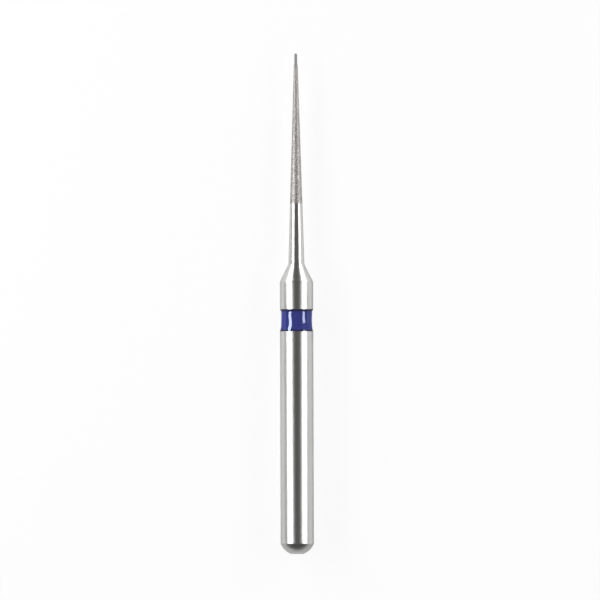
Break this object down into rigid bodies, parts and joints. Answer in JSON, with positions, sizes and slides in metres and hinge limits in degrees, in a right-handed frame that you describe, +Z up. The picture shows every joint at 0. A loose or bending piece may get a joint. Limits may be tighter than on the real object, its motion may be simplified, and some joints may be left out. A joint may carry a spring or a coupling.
{
  "type": "dental bur",
  "caption": "Friction-grip diamond bur with a straight ground shank, a blue ring in a groove, a cone shoulder, a tapered neck and a long needle head coated with grit.",
  "frame": {"origin": "centre of the small flat on the butt end of the shank, on the axis of the bur", "axes": "+X along the axis from the butt end to the tip, +Z up from the surface that the shank lies on"},
  "size_m": [0.024, 0.0016, 0.0016],
  "materials": {
    "ground_steel": "ground round, fine rings, satin bright",
    "blue_lacquer": "glossy lacquer, slightly uneven",
    "diamond_grit": "medium diamond grit in a nickel bond, rough and sparkling"
  },
  "bodies": {
    "root": {"steel_blank": "ground_steel", "colour_ring": "blue_lacquer", "diamond_coat": "diamond_grit"}
  },
  "joints": []
}
